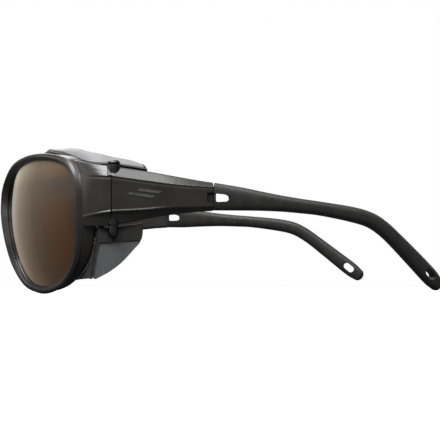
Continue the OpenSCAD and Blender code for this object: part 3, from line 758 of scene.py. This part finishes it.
def badge_bars(grow=0.0):
    """Outlines of the bars on the arm's face, each side moved out by grow."""
    turn = math.radians(-7)
    c, s = math.cos(turn), math.sin(turn)
    out = []
    for bar in BADGE:
        mid = np.mean(bar, 0)
        pts = [np.array(p) + grow * np.sign(np.array(p) - mid) for p in bar]
        pts = rounded(pts, [0.22] * 4, 3)
        out.append([(52.6 + c * y - s * z, 9.9 + s * y + c * z) for y, z in pts])
    return out


SLOT = rounded([(79.75, 6.8), (83.6, 7.0), (85.1, 7.6), (85.1, 9.3), (83.6, 9.9), (79.75, 10.2)],
               [0.8, 0.5, 0.7, 0.7, 0.5, 0.8], 6)
LOOP = stadium(78.5, 8.7, 3.2, 84.7, 8.35, 2.6, 24)
LOOP_GROWN = stadium(78.5, 8.7, 3.3, 84.7, 8.35, 2.7, 24)


def arm():
    """Arm with its eyelet at the rear end, and a short tongue over the seam on top of the lug."""
    rows = []
    for y in np.linspace(ARM_ROWS[0][0], ARM_ROWS[-1][0], 60):
        values = [along([(r[0], r[k]) for r in ARM_ROWS], y) for k in range(1, 7)]
        rows.append(rounded(beam(y, *values), BEAM_R))
    main = loft(rows)
    loop = softened(prism(LOOP, 66.1, 68.3), 0.25)
    y0, y1 = SEAM_Y - 1.3, SEAM_Y + 0.5
    brow_rows = []
    for y in (y0, y1):
        xo, face, top = lerp(vec(68.7, 16.3, 20.05), vec(69.1, 15.8, 19.55), (y - 38) / 4)
        corners = [vec(66.02, y, 16.1), vec(66.02, y, top), vec(xo - 1.9, y, top), vec(xo - 0.15, y, face),
                   vec(xo, y, 16.1)]
        brow_rows.append(rounded(corners, [0.05, 0.3, 0.35, 0.1, 0.05]))
    ob = moulded([main, loop, loft(brow_rows)], 0.2, 3)
    x, y = HINGE
    cutters = hinge_room() + [
        block((x - 0.95, y - 0.05, 6.15), (x + 0.95, y + 9.05, 12.45)),
        block((50, 30, -10), (x, y, 30)),
        prism(rounded([(76.35, 6.75), (81.5, 6.75), (81.5, 10.35), (76.35, 10.35)], [0.8, 0.3, 0.3, 0.8], 4),
              68.05, 73),
        prism(SLOT, 60, 80),
        rod((67.2, 85.6, 8.35), (67.2, 90.6, 8.35), 1.0)]
    cutters += [prism(b, 68.75, 71) for b in badge_bars(0.04)]
    return cut(ob, *cutters)


pair(arm(), "arm", "temple", M_ARM, 38)
bars = [softened(prism(b, 68.75, 69.24), 0.08) for b in badge_bars()]
pair(joined(*bars), "badge", "temple", M_BADGE)

# Middle line of the rubber temple, and its half height and half width along it
TIP_LINE = [(67.2, 79, 8.9), (67.3, 89.2, 8.15), (67.3, 97, 7.4), (67.0, 105, 6.6), (66.5, 113, 5.75),
            (66.0, 121, 4.85), (65.2, 133, 2.9), (64.3, 140.5, 0.9), (63.4, 145.8, -2.1), (62.2, 151, -6.3),
            (59.8, 160, -14.4), (57.6, 167, -20.8), (56.4, 170.2, -23.7)]
TIP_SIZE = [(5.25, 1.6), (4.45, 1.9), (3.7, 2.0), (3.1, 2.15), (2.8, 2.3), (2.7, 2.35), (2.95, 2.45),
            (3.0, 2.5), (3.0, 2.5), (3.0, 2.5), (3.3, 2.5), (3.45, 2.3), (2.9, 1.9)]
BEND_Y, BEND_Z = 87.0, 8.3


def lifted(p, angle):
    """Point p of the rubber temple after the tip is bent up by angle."""
    if p[1] <= BEND_Y:
        return vec(*p)
    c, s = math.cos(math.radians(angle)), math.sin(math.radians(angle))
    y, z = p[1] - BEND_Y, p[2] - BEND_Z
    return vec(p[0], BEND_Y + y * c - z * s, BEND_Z + y * s + z * c)


def oval(p, d, h, w, n=40, power=0.8):
    """Section across direction d with half height h and half width w."""
    side = unit(np.cross(Z, d))
    up = np.cross(d, side)
    out = []
    for k in range(n):
        c, s = math.cos(2 * math.pi * k / n), math.sin(2 * math.pi * k / n)
        out.append(p + side * (w * math.copysign(abs(c) ** power, c))
                   + up * (h * math.copysign(abs(s) ** power, s)))
    return out


def sleeve(angle):
    """Rubber temple with a round end and a slot for a cord, its tip bent up by angle."""
    line = [lifted(p, angle) for p in path(TIP_LINE, 8)]
    size = path(TIP_SIZE, 8)
    way = headings(line)
    rows = [oval(p, d, h, w) for p, d, (h, w) in zip(line, way, size)]
    for k in (12, 25, 38, 50, 60, 70, 78, 85):
        a = math.radians(k)
        rows.append(oval(line[-1] + way[-1] * 2.4 * math.sin(a), way[-1], size[-1][0] * math.cos(a),
                         size[-1][1] * math.cos(a)))
    ob = moulded([loft(rows)], 0.24, 6)
    at = lifted((57.9, 166, -19.9), angle)
    slot = prism(stadium(-1.25, 0, 1.5, 1.25, 0, 1.5), -6, 6)
    slot.data.transform(Matrix.Translation(Vector(at)) @ Matrix.Rotation(math.radians(17), 4, "Z")
                        @ Matrix.Rotation(math.radians(-42.5 + angle), 4, "X"))
    return cut(ob, block((60, 60, -5), (80, 78.96, 25)), prism(LOOP_GROWN, 66.0, 68.4),
               prism(SLOT, 60, 80), slot)


left_sleeve, lifted_sleeve = sleeve(0), sleeve(3)
right_sleeve = mirrored(lifted_sleeve)
discard(lifted_sleeve)
pair(left_sleeve, "temple_sleeve", "temple", M_TIP, 40, right=right_sleeve)

# ------------------------------------------------------------------ hinge pin and nut
PIN = [(0, -1), (0.9, -1), (0.9, 15.45), (2.4, 15.45), (2.45, 15.5), (2.45, 20.07), (2.37, 20.15), (1.5, 20.15),
       (1.5, 20.95), (2.25, 20.95), (2.35, 21.02), (2.34, 21.2), (2.2, 21.5), (1.95, 21.75), (1.55, 21.97),
       (1.0, 22.12), (0.5, 22.18), (0, 22.2)]
NUT = [(0, 3.15), (2.0, 3.15), (2.1, 3.05), (2.1, -1.6), (2.05, -1.85), (1.9, -2.1), (1.7, -2.3), (1.7, -4.7),
       (1.65, -5.1), (1.5, -5.5), (1.28, -5.82), (0.95, -6.1), (0.6, -6.3), (0.3, -6.38), (0, -6.4)]
pair(turned(PIN, *HINGE), "hinge_pin", "front", M_DARK, 30)
nut = cut(turned(NUT, *HINGE), rod((*HINGE, -1.1), (*HINGE, 5), 0.95))
pair(nut, "hinge_nut", "front", M_DARK, 30)


# ------------------------------------------------------------------ nose pads
def pad():
    """Soft nose pad, flatter on the side away from the nose."""
    rows = []
    for k in np.linspace(-1, 1, 41):
        z = -0.6 + 7.4 * math.sin(math.pi / 2 * k)
        spread = math.cos(math.pi / 2 * k) ** 0.75
        width = lerp(4.1, 3.2, (z + 8) / 15) * spread
        thick = lerp(1.55, 1.15, (z + 8) / 15) * spread
        if spread < 0.02:
            width = thick = 0.02
        turns = np.linspace(0, 2 * math.pi, 48, endpoint=False)
        rows.append([vec(thick * math.cos(a) * (0.75 if math.cos(a) > 0 else 1), width * math.sin(a),
                         z + 0.02 * k) for a in turns])
    ob = loft(rows)
    ob.data.transform(Matrix.Translation(Vector((9.6, 16.2, -2.5))) @ Matrix.Rotation(math.radians(-20), 4, "Y")
                      @ Matrix.Rotation(math.radians(28), 4, "Z"))
    return ob


pair(pad(), "nose_pad", "nose_rest", M_PAD, 60)

# ------------------------------------------------------------------ side shields
# Lower and upper edge of the brow window, from the temple forward
BROW_LOW = [(63.6, 54.3, 18.9), (63.2, 48, 19.9), (62.75, 41.7, 20.7), (62.4, 36.6, 20.9), (60.8, 33.4, 21.4),
            (57.2, 31.4, 22.3), (52, 28.9, 23.9), (46, 25.3, 26.0), (40, 22.1, 27.4), (35, 20, 28),
            (31, 18.3, 28.1)]
BROW_HIGH = [(62.3, 52.9, 20.7), (60.9, 48.9, 22.4), (60, 42, 23.7), (59.4, 38, 24.7), (57.6, 35.4, 25.4),
             (54.4, 33, 26.4), (49.5, 30.2, 27.7), (44.5, 27.1, 28.5), (39, 24, 28.6), (34.4, 21.9, 28.9),
             (30.6, 20.2, 28.9)]
BROW_A, BROW_B = path(BROW_LOW, 10), path(BROW_HIGH, 10)
BROW_WAY = headings(BROW_A)
BROW_PUSH = [unit(np.cross(d, b - a)) for d, a, b in zip(BROW_WAY, BROW_A, BROW_B)]
N_BROW = len(BROW_A)


def brow_row(i, lo, hi, steps):
    """Points up the brow window at place i, from lo to hi above its lower edge."""
    a, b, push = BROW_A[i], BROW_B[i], BROW_PUSH[i]
    h = np.linalg.norm(b - a)
    rise = (b - a) / h
    return [a + d * rise - 0.4 * math.sin(math.pi * clamp(d / h)) * push
            for d in np.linspace(lo, hi, steps + 1)]


def brow(first, last, lo, over, t, rail=None):
    """Stretch of the brow sheet, t thick: up to rail above its lower edge, or to over beyond its upper one."""
    span = range(first, last + 1)
    rows = [brow_row(i, lo, rail if rail is not None else np.linalg.norm(BROW_B[i] - BROW_A[i]) + over,
                     2 if rail is not None else 10) for i in span]
    return strip(rows, [BROW_PUSH[i] for i in span], -t / 2, t / 2)


# Cheek flap: its place, and outlines in (y, z) from its front corner
FLAP_PLACE = (Matrix.Translation(Vector((64.3, 36.7, -8.6))) @ Matrix.Rotation(math.radians(8), 4, "Y")
              @ Matrix.Rotation(math.radians(-3.7), 4, "Z"))
FLAP_FRAME = [(-0.6, 5.75), (-0.9, 1.5), (-1.5, -3.4), (-2.7, -11.0), (-3.1, -12.6), (-2.6, -12.9),
              (-2.0, -12.2), (-0.9, -4.4), (0.1, 0.1), (15.6, 1.4), (16.0, 3.5), (16.1, 7.7), (10.3, 6.6), (5, 5.85)]
FLAP_WINDOW = [(-0.6, 0.8), (-1.6, -4.4), (-2.65, -12.0), (-2.2, -13.3), (-1.3, -13.7), (2.9, -11.5),
               (7.0, -8.6), (10.1, -5.6), (12.8, -2.3), (15.2, 0.3), (15.5, 2.1)]


def flap(outline, x0, x1):
    ob = prism(outline, x0, x1)
    ob.data.transform(FLAP_PLACE)
    return ob


def gusset():
    """Web that closes the gap between the flap's rib and the back of the rim."""
    rows = []
    for k in np.linspace(-0.6, -2.85, 15):
        i = int(round(k * SPAN)) % N_OUT
        q = at_y(rim_edge(k, 0.7, -0.6), rim_back(i) + 0.5 + 0.3 * clamp(-1.6 - k))
        z = max((q[2] + 8.6) / math.cos(math.radians(8)), -13.2)
        edge = along([(-12.6, -2.9), (-11, -2.5), (-3.4, -1.3), (1.5, -0.7), (5.7, -0.4)], z)
        p = np.array(FLAP_PLACE @ Vector((-0.75, edge, z)))
        rows.append([lerp(p, q, t) + vec(0.5, 0, 0) * math.sin(math.pi * t) for t in np.linspace(0, 1, 7)])
    ways = headings([r[3] for r in rows])
    return strip(rows, [unit(np.cross(w, r[-1] - r[0])) for w, r in zip(ways, rows)], -0.5, 0.5)


def carrier():
    """Black carrier of both windows: flap frame, web, struts, clip for the hinge pin, rail and end caps."""
    x, y = HINGE
    radii = [0.3, 0.3, 0.3, 0.5, 0.3, 0.25, 0.2, 0.3, 0.25, 0.3, 0.5, 0.8, 1.0, 1.0]
    body = flap(rounded(FLAP_FRAME, radii, 3), -1.2, 0)
    body = cut(body, flap(FLAP_WINDOW, -3, -0.3), rod((64.1, y, -4.8), (75, y, -4.8), 1.85, 48),
               block((64.1, y - 1.85, -4.8), (75, y + 1.85, 6)))
    body = softened(body, 0.05)
    strut = [softened(b, 0.15) for b in (
        block((60, 36.5, -6.8), (61.2, 38.8, 20.9)), block((60, 36.5, -6.8), (63.9, 38.8, -3.8)),
        block((59.6, 33.2, -21.9), (62.3, 34.4, -20.7)), block((60, 36.5, 20.2), (61.2, 44, 20.9)))]
    clip = cut(block((60, y - 2.35, 20.2), (67, y + 2.35, 20.9)), rod((x, y, 15), (x, y, 25), 1.55, 48),
               block((x, y - 1.55, 15), (x + 5, y + 1.55, 25)))
    rail = brow(0, N_BROW - 1, -0.4, 0, 1.2, rail=0.3)
    caps = [brow(0, 2, -0.4, 0, 1.2), brow(N_BROW - 6, N_BROW - 1, -0.4, 0.3, 1.3),
            brow(N_BROW - 38, N_BROW - 1, -1.2, 0, 1.0, rail=-0.2)]
    return joined(body, gusset(), clip, rail, *caps, *strut)


pair(carrier(), "shield_carrier", "shield", M_CARRIER, 32)
pair(softened(brow(0, N_BROW - 1, 0, 0, 0.8), 0.1), "brow_window", "shield", M_BROW, 40)
window_outline = rounded(FLAP_WINDOW, [0.3, 0.3, 0.5, 0.6, 0.7, 2, 2, 2, 2, 1, 0.4], 4)
window = softened(flap(window_outline, -1.15, -0.35), 0.12)
pair(window, "cheek_window", "shield", M_CHEEK, 32)

# ------------------------------------------------------------------ CAD nodes that are kept
for node in frame["nodes"].values():
    if not node.hide_render:
        node.data.materials.clear()
        node.data.materials.append(M_STEEL)

# ------------------------------------------------------------------ stage, light and camera
def stage():
    """Pale floor: nearly white to the camera, and dark in the object's own reflections."""
    me = bpy.data.meshes.new("floor")
    s, floor_z = 6.0, min(CAD_BOX[0].z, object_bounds()[0].z) - 0.0001
    me.from_pydata([(-s, -s, floor_z), (s, -s, floor_z), (s, s, floor_z), (-s, s, floor_z)], [], [(0, 1, 2, 3)])
    ob = bpy.data.objects.new("floor", me)
    bpy.context.scene.collection.objects.link(ob)
    g = Graph("floor")
    cloud = g.noise(3, 2)
    seen = g.node("ShaderNodeLightPath").outputs["Is Camera Ray"]
    pale = g.mix(g.spread(cloud, 0.3, 0.7, 0, 1), (0.33, 0.33, 0.33), (0.34, 0.34, 0.34))
    g.set(Base_Color=g.mix(seen, (0.06, 0.06, 0.06), pale), Roughness=0.9,
          Emission_Color=g.mix(seen, (0.0, 0.0, 0.0), (1.0, 1.0, 1.0)), Emission_Strength=0.86)
    g.bsdf.inputs["Specular IOR Level"].default_value = 0.0
    me.materials.append(g.mat)
    ob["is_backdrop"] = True


def world():
    """White to the camera; to the object, light that fades from overhead to the floor."""
    w = bpy.data.worlds.new("studio")
    bpy.context.scene.world = w
    w.use_nodes = True
    nt = w.node_tree
    nt.nodes.clear()
    out = nt.nodes.new("ShaderNodeOutputWorld")
    coord = nt.nodes.new("ShaderNodeTexCoord")
    split = nt.nodes.new("ShaderNodeSeparateXYZ")
    nt.links.new(coord.outputs["Generated"], split.inputs[0])
    ramp = nt.nodes.new("ShaderNodeValToRGB")
    rng = nt.nodes.new("ShaderNodeMapRange")
    rng.inputs["From Min"].default_value = -1
    nt.links.new(split.outputs["Z"], rng.inputs["Value"])
    nt.links.new(rng.outputs["Result"], ramp.inputs["Fac"])
    stops = [(0.0, 0.01), (0.5, 0.03), (0.6, 0.06), (0.8, 0.3), (1.0, 0.45)]
    set_stops(ramp.color_ramp, [(p, (v, v, v)) for p, v in stops])
    lit = nt.nodes.new("ShaderNodeBackground")
    nt.links.new(ramp.outputs["Color"], lit.inputs["Color"])
    seen = nt.nodes.new("ShaderNodeBackground")
    seen.inputs["Color"].default_value = (1, 1, 1, 1)
    seen.inputs["Strength"].default_value = 1.0
    pick = nt.nodes.new("ShaderNodeLightPath")
    mix = nt.nodes.new("ShaderNodeMixShader")
    nt.links.new(pick.outputs["Is Camera Ray"], mix.inputs["Fac"])
    nt.links.new(lit.outputs[0], mix.inputs[1])
    nt.links.new(seen.outputs[0], mix.inputs[2])
    nt.links.new(mix.outputs[0], out.inputs["Surface"])


def placed(data, name, at, target):
    """Object for a light or camera at one point, aimed at another."""
    ob = bpy.data.objects.new(name, data)
    ob.location = at
    ob.rotation_euler = (Vector(target) - Vector(at)).to_track_quat("-Z", "Y").to_euler()
    bpy.context.scene.collection.objects.link(ob)
    return ob


def area_light(name, at, target, size, watts, shade=(1, 1, 1)):
    data = bpy.data.lights.new(name, "AREA")
    data.shape = "RECTANGLE"
    data.size, data.size_y = size
    data.energy = watts
    data.color = shade
    placed(data, name, at, target)


stage()
world()
MIDDLE = (0.03, 0.08, 0.0)
area_light("key_high", (0.54, 0.16, 0.68), (0.068, 0.045, 0.018), (0.4, 0.24), 4.0)
area_light("key_front", (0.425, -0.33, 0.69), (0.066, 0.036, 0.02), (0.3, 0.3), 6.5)
area_light("front_soft", (-0.05, -0.9, 0.32), MIDDLE, (0.8, 0.5), 2.0, (1.0, 0.97, 0.94))
area_light("top_soft", (0.11, -0.1, 0.88), (0.06, 0.03, 0.02), (0.45, 0.45), 5.0)
area_light("back_soft", (-0.62, -0.05, 0.52), MIDDLE, (0.5, 0.4), 2.6)

cam = bpy.data.cameras.new("camera")
cam.sensor_width = 36.0
cam.lens = cam.sensor_width * FOCAL_PX / IMAGE_PX
cam.clip_start = 0.01
bpy.context.scene.camera = placed(cam, "camera", (0.5058, 0.0050, -0.0239), (0.0336, 0.0874, 0.0020))
bpy.context.scene.view_settings.view_transform = "Standard"
